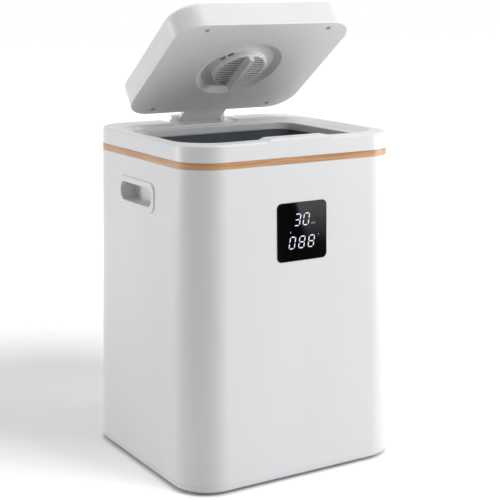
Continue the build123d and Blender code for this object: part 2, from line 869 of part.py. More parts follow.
with BuildPart() as lid_cover:
    loft([lid_section(lid_seam), lid_section(lid_top)], ruled=True)
    fillet(outermost(lid_cover, lid_plane).edges(), lid_edge_round)
    fillet(outermost(lid_cover, -lid_plane).edges(), seam_round)
    loft(
        [lid_section(lid_seam, lid_wall), lid_section(lid_top - lid_wall, lid_wall)],
        ruled=True,
        mode=Mode.SUBTRACT,
    )
    with BuildSketch(lid_plane.offset(post_start)):
        with Locations(*lid_screw_points):
            Circle(lid_post_radius)
    extrude(amount=lid_top - lid_wall - post_start)
    with BuildSketch(lid_plane.offset(post_start)):
        with Locations(*lid_screw_points):
            Circle(screw_radius + pin_gap)
    extrude(amount=lid_screw_length, mode=Mode.SUBTRACT)
    with BuildSketch(lid_plane.offset(lid_seam)):
        with Locations((0, lid_length / 2)):
            Rectangle(2 * (barrel_end + cup_gap), 4 * lid_wall)
    extrude(amount=arm_thickness + cup_gap, mode=Mode.SUBTRACT)
export(lid_cover, "lid_cover")

dish_floor = lid_under + dish_depth
dish_back = dish_floor + dish_wall
catch_place = Location((0, 0, 0), (0, 0, 1), catch_angle) * Location((cap_radius + catch_width / 2, 0, 0))
catch_offset = (catch_length + catch_tab) / 2
arm_screw_first = -arm_screw_pitch * (arm_screw_count - 1) / 2
arm_screw_y = lid_length / 2 - lid_wall - arm_screw_inset
arm_screw_points = [(arm_screw_first + k * arm_screw_pitch, arm_screw_y) for k in range(arm_screw_count)]

with BuildPart() as lid_inner_panel:
    loft([lid_section(lid_under), lid_section(lid_seam)], ruled=True)
    fillet(outermost(lid_inner_panel, -lid_plane).edges(), panel_edge_round)
    fillet(outermost(lid_inner_panel, lid_plane).edges(), seam_round)
    dish_outside = lid_circle(dish_back, dish_floor_radius + dish_wall)
    loft([lid_circle(lid_under + dish_edge_round, dish_radius + dish_wall), dish_outside])
    with BuildSketch(lid_plane.offset(lid_seam)):
        with Locations(*lid_screw_points):
            Circle(lid_post_radius + screw_clearance)
    extrude(amount=post_start - lid_seam)
    loft([lid_circle(lid_under, dish_radius), lid_circle(dish_floor, dish_floor_radius)], mode=Mode.SUBTRACT)
    fillet(circles(lid_inner_panel, dish_radius), dish_edge_round)
    fillet(circles(lid_inner_panel, dish_floor_radius), dish_edge_round)
    with BuildSketch(lid_plane.offset(dish_floor)):
        Circle(cap_neck_radius + cap_neck_gap)
        with PolarLocations(cap_neck_radius, lug_count, lug_entry_angle):
            Rectangle(2 * (lug_reach + cap_neck_gap), lug_width + 2 * cap_neck_gap)
    extrude(amount=dish_wall, mode=Mode.SUBTRACT)
    with BuildSketch(lid_plane.offset(dish_floor)):
        with Locations(catch_place):
            with Locations((0, catch_offset), (0, -catch_offset)):
                Rectangle(catch_width, catch_length)
    extrude(amount=dish_wall, mode=Mode.SUBTRACT)
    with BuildSketch(lid_plane.offset(dish_floor)):
        with Locations(catch_place):
            with Locations((cap_floor_gap, 0)):
                Rectangle(catch_width, catch_tab)
    extrude(amount=-catch_rise)
    with BuildSketch(lid_plane.offset(lid_under)):
        with Locations(*lid_screw_points):
            Circle(screw_head_radius + screw_clearance)
    extrude(amount=lid_screw_recess, mode=Mode.SUBTRACT)
    with BuildSketch(lid_plane.offset(screw_seat)):
        with Locations(*lid_screw_points):
            Circle(screw_radius + screw_clearance)
    extrude(amount=screw_seat_thickness, mode=Mode.SUBTRACT)
    with BuildSketch(lid_plane.offset(lid_seam)):
        with Locations(*arm_screw_points):
            Circle(screw_radius + pin_gap)
    extrude(amount=-arm_screw_grip, mode=Mode.SUBTRACT)
export(lid_inner_panel, "lid_inner_panel")

with BuildPart() as lid_screws:
    with BuildSketch(lid_plane.offset(screw_seat - screw_head_height)):
        with Locations(*lid_screw_points):
            Circle(screw_head_radius)
    extrude(amount=screw_head_height)
    with BuildSketch(lid_plane.offset(screw_seat)):
        with Locations(*lid_screw_points):
            Circle(screw_radius)
    extrude(amount=screw_seat_thickness + lid_screw_length)
export(lid_screws, "lid_screws")

# ---------------------------------------------------------------- hinge arm
arm_axis = Plane(
    origin=(0, hinge_y, hinge_height),
    x_dir=(0, open_cos, -open_sin),
    z_dir=(1, 0, 0),
)
lid_back = lid_length / 2 - lid_reach
knuckle_start = -knuckle_radius - ear_swing_gap
tongue_end = lid_back - lid_wall - arm_tongue
neck_length = cut_margin - knuckle_start

with BuildPart() as hinge_arm:
    with BuildSketch(lid_plane.offset(arm_low)):
        with Locations((0, lid_reach + (tongue_end + knuckle_start) / 2)):
            Rectangle(2 * barrel_end, knuckle_start - tongue_end)
    extrude(amount=arm_thickness)
    with BuildSketch(arm_axis.offset(-barrel_end)):
        Circle(knuckle_radius)
        with Locations((-neck_length / 2, (arm_low + arm_high) / 2)):
            Rectangle(neck_length, arm_thickness)
    extrude(amount=2 * barrel_end)
    for side in (-1, 1):
        with BuildSketch(hinge_axis_plane.offset(side * (pin_inner - pin_gap))):
            Circle(pin_radius + pin_gap)
        extrude(amount=side * (barrel_end - pin_inner + pin_gap + cut_margin), mode=Mode.SUBTRACT)
    with BuildSketch(lid_plane.offset(arm_low)):
        with Locations(*arm_screw_points):
            Circle(screw_radius + screw_clearance)
    extrude(amount=arm_thickness, mode=Mode.SUBTRACT)
export(hinge_arm, "hinge_arm")

with BuildPart() as hinge_arm_screws:
    with BuildSketch(lid_plane.offset(arm_high)):
        with Locations(*arm_screw_points):
            Circle(screw_head_radius)
    extrude(amount=screw_head_height)
    with BuildSketch(lid_plane.offset(arm_high)):
        with Locations(*arm_screw_points):
            Circle(screw_radius)
    extrude(amount=-arm_thickness - arm_screw_grip)
export(hinge_arm_screws, "hinge_arm_screws")

# ---------------------------------------------------------------- fragrance cap
cap_face = lid_under - cap_proud
cap_back = dish_floor - cap_floor_gap
lug_low = dish_back + cap_floor_gap
lug_high = lug_low + lug_height
lid_forward = Vector(0, open_cos, -open_sin)
grip_plane = Plane(origin=lid_plane.offset(cap_face).origin, x_dir=(1, 0, 0), z_dir=lid_forward)

with BuildPart() as grip_bar:
    with BuildSketch(grip_plane):
        with BuildLine():
            crest = Line((-grip_width / 2, grip_height), (grip_width / 2, grip_height))
            foot = Line((-grip_width / 2 - grip_flank, 0), (grip_width / 2 + grip_flank, 0))
            right_side = Line(crest @ 1, (grip_width / 2, grip_flank))
            left_side = Line(crest @ 0, (-grip_width / 2, grip_flank))
            TangentArc(foot @ 1, right_side @ 1, tangent=(-1, 0))
            TangentArc(foot @ 0, left_side @ 1, tangent=(1, 0))
        make_face()
    extrude(amount=cap_radius, both=True)
    with BuildSketch(lid_plane.offset(cap_face - grip_height)):
        Circle(cap_radius - grip_end_gap)
    extrude(amount=2 * grip_height, mode=Mode.INTERSECT)

with BuildPart() as fragrance_cap:
    with BuildSketch(lid_plane.offset(cap_face)):
        Circle(cap_radius)
    extrude(amount=cap_back - cap_face)
    fillet(outermost(fragrance_cap, -lid_plane).edges(), cap_edge_round)
    with BuildSketch(lid_plane.offset(cap_back)):
        Circle(cap_neck_radius)
    extrude(amount=lug_high - cap_back)
    with BuildSketch(lid_plane.offset(lug_low)):
        with PolarLocations(cap_neck_radius, lug_count, lug_angle):
            Rectangle(2 * lug_reach, lug_width)
    extrude(amount=lug_height)
    with BuildSketch(lid_plane.offset(cap_face + cap_wall)):
        Circle(cap_neck_radius - cap_wall)
    extrude(amount=lug_high - cap_face - cap_wall, mode=Mode.SUBTRACT)
    with BuildSketch(lid_plane.offset(cap_face)):
        with GridLocations(0, slot_pitch, 1, slot_count):
            Rectangle(2 * cap_radius, slot_width)
        Circle(cap_radius - slot_edge, mode=Mode.INTERSECT)
        Rectangle(grip_width + 2 * (grip_flank + slot_bar_gap), 2 * cap_radius, mode=Mode.SUBTRACT)
    extrude(amount=cap_wall, mode=Mode.SUBTRACT)
    add(grip_bar.part)
export(fragrance_cap, "fragrance_cap")

with BuildPart() as fragrance_pad:
    with BuildSketch(lid_plane.offset(cap_face + cap_wall)):
        Circle(cap_neck_radius - cap_wall - cap_neck_gap)
    extrude(amount=fragrance_pad_height)
export(fragrance_pad, "fragrance_pad")

with BuildPart() as fragrance_cup:
    with BuildSketch(lid_plane.offset(dish_back)):
        Circle(cup_inner_radius + fragrance_cup_wall)
    extrude(amount=cup_top_height)
    with BuildSketch(lid_plane.offset(dish_back)):
        Circle(cup_inner_radius)
    extrude(amount=cup_top_height - fragrance_cup_wall, mode=Mode.SUBTRACT)
export(fragrance_cup, "fragrance_cup")
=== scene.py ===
import json
import math

import bmesh
import bpy
from mathutils import Matrix, Vector


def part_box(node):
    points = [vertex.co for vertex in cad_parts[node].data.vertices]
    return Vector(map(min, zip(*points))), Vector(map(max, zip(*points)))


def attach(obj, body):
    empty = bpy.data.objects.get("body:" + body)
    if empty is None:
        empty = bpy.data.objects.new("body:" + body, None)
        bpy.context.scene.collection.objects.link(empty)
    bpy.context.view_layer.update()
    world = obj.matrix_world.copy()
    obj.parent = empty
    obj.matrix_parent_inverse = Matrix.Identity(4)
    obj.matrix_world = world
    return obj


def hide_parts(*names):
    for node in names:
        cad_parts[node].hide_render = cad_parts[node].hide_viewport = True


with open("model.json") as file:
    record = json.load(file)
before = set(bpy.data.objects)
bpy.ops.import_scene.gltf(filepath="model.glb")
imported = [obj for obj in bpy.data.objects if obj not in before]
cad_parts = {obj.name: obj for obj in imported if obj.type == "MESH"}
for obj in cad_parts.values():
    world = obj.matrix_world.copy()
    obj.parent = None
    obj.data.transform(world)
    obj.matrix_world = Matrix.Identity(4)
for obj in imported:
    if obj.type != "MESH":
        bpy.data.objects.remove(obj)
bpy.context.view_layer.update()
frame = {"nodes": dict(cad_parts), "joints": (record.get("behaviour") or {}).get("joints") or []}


# ---------------------------------------------------------------- outer shell
# The tapering case is one injection-moulded shell of white ABS with a fine spark texture. It is screwed to
# the base at bosses in its corners, and it carries the band, the rim, the handles and the display.
class Tone:
    """A socket of a shader tree. Arithmetic on it adds Math nodes."""

    def __init__(self, tree, socket):
        self.tree = tree
        self.socket = socket

    def node(self, kind, settings, inputs, output=0):
        """Adds a node. Its settings come first, then the values or links of its sockets."""
        made = self.tree.nodes.new(kind)
        for name, value in settings.items():
            if name == "stops":
                for place, colour in value[2:]:
                    made.color_ramp.elements.new(place)
                for stop, (place, colour) in zip(made.color_ramp.elements, value):
                    stop.position = place
                    stop.color = colour
            else:
                setattr(made, name, value)
        for place, value in inputs.items():
            if isinstance(value, Tone):
                self.tree.links.new(value.socket, made.inputs[place])
            else:
                made.inputs[place].default_value = value
        return Tone(self.tree, made.outputs[output] if made.outputs else None)

    def maths(self, operation, *values):
        return self.node("ShaderNodeMath", {"operation": operation}, dict(enumerate(values)))

    def __add__(self, other):
        return self.maths("ADD", self, other)

    def __radd__(self, other):
        return self.maths("ADD", other, self)

    def __sub__(self, other):
        return self.maths("SUBTRACT", self, other)

    def __rsub__(self, other):
        return self.maths("SUBTRACT", other, self)

    def __mul__(self, other):
        return self.maths("MULTIPLY", self, other)

    def __rmul__(self, other):
        return self.maths("MULTIPLY", other, self)


def new_material(name):
    """A material and the place on the object, in metres, that its patterns are read from."""
    made = bpy.data.materials.new(name)
    made.use_nodes = True
    made.node_tree.nodes.clear()
    coordinates = made.node_tree.nodes.new("ShaderNodeTexCoord")
    return made, Tone(made.node_tree, coordinates.outputs["Object"])


def stretched(place, x, y, z):
    """The place with its axes scaled, for a pattern that runs along one of them."""
    return place.node("ShaderNodeVectorMath", {"operation": "MULTIPLY"}, {0: place, 1: (x, y, z)})


def mottle(place, scale, detail=3.0, roughness=0.5):
    """A soft random pattern from 0 to 1, with its features about one part in scale of a metre."""
    inputs = {"Vector": place, "Scale": scale, "Detail": detail, "Roughness": roughness}
    return place.node("ShaderNodeTexNoise", {}, inputs)


def spread(value, low, high, first=0.0, last=1.0):
    """The value from low to high taken to first to last, and held at the ends."""
    return value.node("ShaderNodeMapRange", {"clamp": True}, {0: value, 1: low, 2: high, 3: first, 4: last})


def tint(amount, first, second):
    """One colour going over into another by amount."""
    return amount.node("ShaderNodeMix", {"data_type": "RGBA"}, {0: amount, 6: first, 7: second}, 2)


def close_surface(colour, roughness, relief, depth, **fixed):
    """Ends a material: colour, roughness and a relief of that depth in metres."""
    bump = relief.node("ShaderNodeBump", {}, {"Height": relief, "Distance": depth})
    inputs = {"Base Color": colour, "Roughness": roughness, "Normal": bump}
    inputs.update({name.replace("_", " "): value for name, value in fixed.items()})
    shader = relief.node("ShaderNodeBsdfPrincipled", {}, inputs)
    relief.node("ShaderNodeOutputMaterial", {}, {"Surface": shader})


def dress(material, *names):
    """Gives CAD nodes their material."""
    for name in names:
        mesh = frame["nodes"][name].data
        mesh.materials.clear()
        mesh.materials.append(material)


def sunken(place, middle, up, reach, first, last):
    """From 0 to 1 where a face lies first to last above middle, within reach of the line up through it."""
    off = place.node("ShaderNodeVectorMath", {"operation": "SUBTRACT"}, {0: place, 1: middle})
    height = off.node("ShaderNodeVectorMath", {"operation": "DOT_PRODUCT"}, {0: off, 1: up}, 1)
    away = off.node("ShaderNodeVectorMath", {"operation": "LENGTH"}, {0: off}, 1)
    sideways = off.maths("SQRT", away * away - height * height)
    return spread(height, first, last) * spread(sideways, reach, reach + 0.0002, 1.0, 0.0)


def moulded(name, colour, gloss, texture, depth, scuffing, hollow=None):
    """Moulded plastic: a spark texture, faint flow marks, and rubbed places that are a little duller."""
    made, place = new_material(name)
    grain = mottle(place, texture, 2.0)
    flow = mottle(stretched(place, 1.0, 1.0, 0.35), 11.0, 4.0)
    rubbed = spread(mottle(stretched(place, 55.0, 55.0, 620.0), 1.0, 5.0), 0.66, 0.80) * scuffing
    dull = tuple(0.965 * part for part in colour[:3]) + (1.0,)
    worn = tuple(0.90 * part for part in colour[:3]) + (1.0,)
    skin = tint(rubbed, tint(spread(flow, 0.3, 0.7), colour, dull), worn)
    # A hollow, if given, gets painted shade: its inner walls go over into the hollow's shade colour.
    if hollow:
        skin = tint(sunken(place, *hollow[:-1]), skin, hollow[-1])
    close_surface(
        skin,
        gloss + (flow - 0.5) * 0.12 + (grain - 0.5) * 0.08 + rubbed * 0.15,
        grain + rubbed * 0.3,
        depth,
        Specular_IOR_Level=0.42,
    )
    return made


white_shell = moulded("satin_white_shell", (0.83, 0.83, 0.845, 1.0), 0.42, 1700.0, 0.00003, 0.35)
dress(white_shell, "outer_shell")


# ---------------------------------------------------------------- base and feet
# The base plate closes the case from below. It is the same white plastic with a coarser texture, and the
# four feet are pads of grey rubber with turned rings, pressed into shallow seats under it.
base_white = moulded("textured_white_base", (0.80, 0.80, 0.815, 1.0), 0.52, 1100.0, 0.00006, 0.6)
dress(base_white, "base_plate")

rubber, place = new_material("grey_rubber")
powder = mottle(place, 900.0, 4.0)
bloom = spread(mottle(place, 60.0, 3.0), 0.35, 0.75)
rings = place.node(
    "ShaderNodeTexWave",
    {"wave_type": "RINGS", "rings_direction": "Z"},
    {"Vector": place, "Scale": 140.0},
)
close_surface(
    tint(bloom, (0.075, 0.076, 0.08, 1.0), (0.12, 0.12, 0.125, 1.0)),
    0.78 + (powder - 0.5) * 0.25,
    powder + rings * 0.4,
    0.00008,
)
dress(rubber, "rubber_feet", "cord_gland")


# ---------------------------------------------------------------- wood band
# A strip of light straight-grained wood, steamed round the case between shell and rim and varnished satin.
# Its grain follows the strip, so the pattern is long along X and Y and fine across Z. It wanders a little.
EARLY_WOOD = (0.66, 0.385, 0.188, 1.0)
MIDDLE_WOOD = (0.575, 0.310, 0.138, 1.0)
LATE_WOOD = (0.42, 0.198, 0.078, 1.0)
GRAIN_WANDER = 0.010
wood, place = new_material("light_varnished_wood")
wander = mottle(stretched(place, 9.0, 9.0, 14.0), 1.0, 2.0) - 0.5
shift = place.node("ShaderNodeCombineXYZ", {}, {"Z": wander * GRAIN_WANDER})
grain_place = place.node("ShaderNodeVectorMath", {"operation": "ADD"}, {0: place, 1: shift})
streak = mottle(stretched(grain_place, 6.0, 6.0, 230.0), 1.0, 5.0, 0.6)
fibre = mottle(stretched(grain_place, 26.0, 26.0, 1900.0), 1.0, 3.0, 0.6)
pore = spread(mottle(stretched(grain_place, 90.0, 90.0, 2600.0), 1.0, 2.0), 0.66, 0.76)
patch = mottle(stretched(place, 7.0, 7.0, 7.0), 1.0, 2.0)
plain = streak.node(
    "ShaderNodeValToRGB",
    {"stops": [(0.30, LATE_WOOD), (0.62, EARLY_WOOD), (0.46, MIDDLE_WOOD)]},
    {0: streak + (fibre - 0.5) * 0.16 + (patch - 0.5) * 0.34},
)
close_surface(
    tint(pore * 0.55, plain, (0.30, 0.15, 0.065, 1.0)),
    0.44 + (fibre - 0.5) * 0.2 + pore * 0.15,
    fibre * 0.6 - pore,
    0.00006,
    Coat_Weight=0.12,
    Coat_Roughness=0.35,
    Specular_IOR_Level=0.35,
)
dress(wood, "wood_band")


# ---------------------------------------------------------------- rim and handles
# The rim is a moulded ring that drops into the shell and carries the lid's ledge and the hinge ears. The
# handle cups are moulded pockets with a raised bezel, clipped into the shell's sides. Hands polish them.
rim_white = moulded("satin_white_rim", (0.84, 0.84, 0.85, 1.0), 0.34, 2100.0, 0.00002, 0.25)
dress(rim_white, "top_rim")
handle_white = moulded("handled_white_cup", (0.82, 0.82, 0.83, 1.0), 0.38, 1500.0, 0.00003, 0.8)
dress(handle_white, "left_handle_cup", "right_handle_cup")


# ---------------------------------------------------------------- inner bucket
# Drawn aluminium with a baked anthracite coating. The coating has a fine pebble, and towels have rubbed it
# smoother in upright strokes. It hangs from the rim on a silicone gasket and stands on silicone pads.
DARK_COATING = (0.100, 0.114, 0.132, 1.0)
RUBBED_COATING = (0.138, 0.154, 0.174, 1.0)
bucket_coat, place = new_material("anthracite_bucket_coating")
pebble = mottle(place, 1500.0, 3.0)
cloud = mottle(place, 13.0, 3.0)
strokes = mottle(stretched(place, 240.0, 240.0, 9.0), 1.0, 4.0)
fleck = spread(mottle(place, 2600.0, 1.0), 0.70, 0.78)
close_surface(
    tint(
        fleck * 0.35,
        tint(spread(cloud + (strokes - 0.5) * 0.5, 0.3, 0.75), DARK_COATING, RUBBED_COATING),
        (0.24, 0.25, 0.27, 1.0),
    ),
    0.40 + (strokes - 0.5) * 0.22 + (pebble - 0.5) * 0.1,
    pebble,
    0.00004,
    Metallic=0.25,
)
dress(bucket_coat, "inner_bucket")

silicone, place = new_material("milky_silicone")
haze = mottle(place, 120.0, 3.0)
skin = mottle(place, 1400.0, 2.0)
close_surface(
    tint(haze, (0.62, 0.62, 0.60, 1.0), (0.74, 0.74, 0.71, 1.0)),
    0.5 + (skin - 0.5) * 0.2,
    skin,
    0.00003,
)
dress(silicone, "bucket_gasket", "bucket_pads")


# ---------------------------------------------------------------- heater and felt
# A printed foil heater is glued round the bucket, its track running to and fro, and a sleeve of needled
# felt keeps the warmth in. Neither is seen once the rim is on.
foil, place = new_material("heater_foil")
crease = mottle(place, 210.0, 5.0, 0.65)
track = place.node(
    "ShaderNodeTexWave",
    {"bands_direction": "Z", "wave_profile": "SIN"},
    {"Vector": place, "Scale": 42.0, "Distortion": 0.6, "Detail": 1.0},
)
line = spread(track, 0.62, 0.74)
close_surface(
    tint(line, (0.78, 0.78, 0.79, 1.0), (0.46, 0.41, 0.36, 1.0)),
    0.28 + crease * 0.25,
    crease + line * 0.6,
    0.0002,
    Metallic=0.9,
)
dress(foil, "heating_film")

felt, place = new_material("needled_felt")
fluff = mottle(place, 700.0, 6.0, 0.7)
clump = mottle(place, 45.0, 4.0)
needle = place.node("ShaderNodeTexVoronoi", {}, {"Vector": place, "Scale": 380.0})
close_surface(
    tint(clump, (0.70, 0.69, 0.65, 1.0), (0.86, 0.85, 0.81, 1.0)),
    0.93 + (fluff - 0.5) * 0.1,
    fluff + needle * 0.5,
    0.0006,
)
dress(felt, "insulation_sleeve")


# ---------------------------------------------------------------- lid
# A hollow moulded cover with an underside panel that holds the round dish. The panel is screwed up from
# below at four deep holes. A wide arm on the panel carries the hinge barrel between the rim's two ears.
# The twist-off cap covers a pad of grey felt, and shade is painted dark on the inner walls of its slots
# and of the two catch gaps.
GRIP_HEIGHT = 0.007
DISH_DEPTH = 0.004
CATCH_RADIUS = 0.0347
CATCH_ANGLE = math.radians(222)
CATCH_REACH = 0.0095
SLOT_REACH = 0.0313
# Painted shade colours for the inner walls of the catch gaps and of the cap's slots.
GAP_SHADE = (0.04, 0.04, 0.042, 1.0)
SLOT_SHADE = (0.13, 0.13, 0.135, 1.0)
lid_white = moulded("satin_white_lid", (0.845, 0.845, 0.855, 1.0), 0.36, 1900.0, 0.00002, 0.25)
dress(lid_white, "lid_cover", "fragrance_cup")
twist = next(joint for joint in frame["joints"] if joint["name"] == "fragrance_cap_twist")
cap_up, cap_middle = Vector(twist["axis"]), Vector(twist["pos_m"])
cap_across = Vector((1, 0, 0))
cap_back = cap_up.cross(cap_across)


def lowest(name):
    """The lowest level of a CAD node along the cap's axis, from the middle of the cap."""
    return min((vert.co - cap_middle).dot(cap_up) for vert in frame["nodes"][name].data.vertices)


catch = cap_middle + CATCH_RADIUS * (math.cos(CATCH_ANGLE) * cap_across + math.sin(CATCH_ANGLE) * cap_back)
dish_floor = lowest("lid_inner_panel") + DISH_DEPTH
# Painted shade on the walls inside the two catch gaps.
gaps = (catch, cap_up, CATCH_REACH, dish_floor + 0.0001, dish_floor + 0.0008, GAP_SHADE)
panel_white = moulded("satin_white_panel", (0.86, 0.86, 0.87, 1.0), 0.40, 1600.0, 0.00003, 0.2, gaps)
dress(panel_white, "lid_inner_panel", "hinge_arm")
cap_face = lowest("fragrance_cap") + GRIP_HEIGHT
# Painted shade on the walls inside the cap's slots.
slots = (cap_middle, cap_up, SLOT_REACH, cap_face + 0.00015, cap_face + 0.0012, SLOT_SHADE)
cap_white = moulded("bright_white_cap", (0.85, 0.85, 0.86, 1.0), 0.33, 2200.0, 0.00002, 0.3, slots)
dress(cap_white, "fragrance_cap")

pad_felt, place = new_material("scented_grey_felt")
hairs = mottle(place, 900.0, 6.0, 0.7)
damp = mottle(place, 90.0, 3.0)
close_surface(
    tint(damp, (0.13, 0.13, 0.135, 1.0), (0.22, 0.22, 0.22, 1.0)),
    0.95 + (hairs - 0.5) * 0.08,
    hairs,
    0.0005,
)
dress(pad_felt, "fragrance_pad")


# ---------------------------------------------------------------- steel
# Hinge pins, clip, fuse and sensor are zinc-plated steel, brushed by turning, with a few dull stains.
# The pins carry the lid, and the others are the heater's safeguards inside the case.
zinc, place = new_material("zinc_plated_steel")
turned = mottle(stretched(place, 900.0, 900.0, 3500.0), 1.0, 3.0)
stain = spread(mottle(place, 160.0, 4.0), 0.5, 0.8)
close_surface(
    tint(stain * 0.6, (0.64, 0.64, 0.65, 1.0), (0.42, 0.41, 0.40, 1.0)),
    0.26 + turned * 0.18 + stain * 0.2,
    turned,
    0.00002,
    Metallic=1.0,
)
dress(zinc, "hinge_pins", "fuse_clip", "temperature_sensor", "thermal_fuse")


# ---------------------------------------------------------------- screws
# Pan-head screws with a cross recess and a rolled thread. One screw is turned from its profile and copied
# to every place where the CAD has one, with its head the way the screwdriver comes from.
MM = 0.001
SCREW_RADIUS = 1.42
SCREW_HEAD_RADIUS = 2.95
SCREW_HEAD = 2.0
SCREW_PITCH = 0.8
SCREW_SIDES = 20
CROSS_LENGTH = 3.4
CROSS_WIDTH = 0.7
CROSS_DEPTH = 2.4
LID_OPEN = math.radians(36)
SIDE_DRAFT = 0.02


def loose_parts(name, axis):
    """For each separate solid of a CAD node: its middle, and its lowest and highest level along axis."""
    mesh = bmesh.new()
    mesh.from_mesh(frame["nodes"][name].data)
    bmesh.ops.remove_doubles(mesh, verts=mesh.verts, dist=0.000002)
    left, found = set(mesh.verts), []
    while left:
        todo = [left.pop()]
        island = []
        while todo:
            vert = todo.pop()
            island.append(vert.co.copy())
            for edge in vert.link_edges:
                other = edge.other_vert(vert)
                if other in left:
                    left.remove(other)
                    todo.append(other)
        levels = [point.dot(axis) for point in island]
        low = Vector([min(point[k] for point in island) for k in range(3)])
        high = Vector([max(point[k] for point in island) for k in range(3)])
        middle = (low + high) / 2
        found.append((middle - axis * middle.dot(axis), min(levels), max(levels)))
    mesh.free()
    return found


def new_object(name, mesh, material):
    """An object at the origin around a finished mesh."""
    mesh.materials.clear()
    mesh.materials.append(material)
    made = bpy.data.objects.new(name, mesh)
    bpy.context.scene.collection.objects.link(made)
    return made


def turned_mesh(name, profile, sides):
    """A closed solid turned about Z from (radius, level) points that start and end on the axis."""
    mesh = bmesh.new()
    rings = []
    for radius, level in profile:
        if radius == 0:
            rings.append([mesh.verts.new((0, 0, level))])
            continue
        angles = [2 * math.pi * k / sides for k in range(sides)]
        rings.append([mesh.verts.new((radius * math.cos(a), radius * math.sin(a), level)) for a in angles])
    for low, high in zip(rings, rings[1:]):
        for k in range(sides):
            after = k + 1
            corner = [low[k % len(low)], low[after % len(low)], high[after % len(high)], high[k % len(high)]]
            mesh.faces.new(list(dict.fromkeys(corner)))
    bmesh.ops.recalc_face_normals(mesh, faces=mesh.faces)
    made = bpy.data.meshes.new(name)
    mesh.to_mesh(made)
    mesh.free()
    return made


def grow_nodes(tree):
    """A function that adds a node to a geometry tree: kind, settings, then values or links of sockets."""
    def add(kind, settings, inputs):
        made = tree.nodes.new(kind)
        for name, value in settings.items():
            setattr(made, name, value)
        for place, value in inputs.items():
            if isinstance(value, bpy.types.NodeSocket):
                tree.links.new(value, made.inputs[place])
            else:
                made.inputs[place].default_value = value
        return made
    return add


def new_tree(name, sockets):
    """A geometry tree with a geometry input, named inputs, and a geometry output."""
    tree = bpy.data.node_groups.new(name, "GeometryNodeTree")
    tree.interface.new_socket("Geometry", in_out="INPUT", socket_type="NodeSocketGeometry")
    for label, kind in sockets.items():
        tree.interface.new_socket(label, in_out="INPUT", socket_type=kind)
    tree.interface.new_socket("Geometry", in_out="OUTPUT", socket_type="NodeSocketGeometry")
    add = grow_nodes(tree)
    return tree, add, add("NodeGroupInput", {}, {}).outputs


def grown_mesh(name, tree, start, inputs):
    """The plain mesh that a geometry tree makes from a start mesh, with its inputs set by identifier."""
    holder = bpy.data.objects.new(name + "_start", start)
    bpy.context.scene.collection.objects.link(holder)
    growth = holder.modifiers.new("growth", "NODES")
    growth.node_group = tree
    for socket in tree.interface.items_tree:
        if socket.in_out == "INPUT" and socket.name in inputs:
            growth[socket.identifier] = inputs[socket.name]
    bpy.context.view_layer.update()
    depsgraph = bpy.context.evaluated_depsgraph_get()
    mesh = bpy.data.meshes.new_from_object(holder.evaluated_get(depsgraph))
    holder.modifiers.remove(growth)
    bpy.data.objects.remove(holder)
    mesh.name = name
    return mesh


def points_mesh(name, places, **measures):
    """A mesh of bare points, with a number on each for every named measure."""
    mesh = bpy.data.meshes.new(name)
    mesh.from_pydata(places, [], [])
    for label, values in measures.items():
        kind = "FLOAT_VECTOR" if hasattr(values[0], "__len__") else "FLOAT"
        held = mesh.attributes.new(label, kind, "POINT")
        for k, value in enumerate(values):
            if kind == "FLOAT":
                held.data[k].value = value
            else:
                held.data[k].vector = value
    return mesh


def copied_to_points(add, points, shape):
    """A copy of a shape at every point, turned as the point says."""
    turn = add("GeometryNodeInputNamedAttribute", {"data_type": "FLOAT_VECTOR"}, {"Name": "turn"})
    placed = add(
        "GeometryNodeInstanceOnPoints",
        {},
        {"Points": points, "Instance": shape, "Rotation": turn.outputs[0]},
    )
    return add("GeometryNodeRealizeInstances", {}, {"Geometry": placed.outputs[0]}).outputs[0]


def end_tree(add, shape, finish):
    """Ends a geometry tree with the shape in its material."""
    coated = add("GeometryNodeSetMaterial", {}, {"Geometry": shape, "Material": finish})
    add("NodeGroupOutput", {}, {"Geometry": coated.outputs[0]})


copies, add, given = new_tree(
    "copies_at_points",
    {"Copied": "NodeSocketObject", "Finish": "NodeSocketMaterial"},
)
copied = add("GeometryNodeObjectInfo", {}, {"Object": given["Copied"]})
end_tree(add, copied_to_points(add, given["Geometry"], copied.outputs["Geometry"]), given["Finish"])

screw_steel, place = new_material("screw_steel")
swirl = mottle(stretched(place, 2600.0, 2600.0, 2600.0), 1.0, 3.0)
smear = spread(mottle(place, 420.0, 3.0), 0.45, 0.75)
close_surface(
    tint(smear * 0.7, (0.58, 0.58, 0.60, 1.0), (0.35, 0.34, 0.33, 1.0)),
    0.3 + swirl * 0.2,
    swirl,
    0.00002,
    Metallic=1.0,
)


def screw_profile(radius, head_radius, head, length, pitch):
    """Half outline of a pan-head screw with its head's top at level 0 and its tip below."""
    outline = [(0, 0), (0.62 * head_radius, 0), (0.9 * head_radius, -0.2 * head)]
    outline += [(head_radius, -0.55 * head), (head_radius, -head), (radius, -head)]
    turns = int((length - 2 * pitch) / pitch)
    for k in range(turns):
        start = -head - pitch * (k + 0.5)
        outline += [(0.8 * radius, start - 0.2 * pitch), (radius, start - 0.5 * pitch)]
    outline += [(0.8 * radius, -head - length + pitch), (0, -head - length)]
    return outline


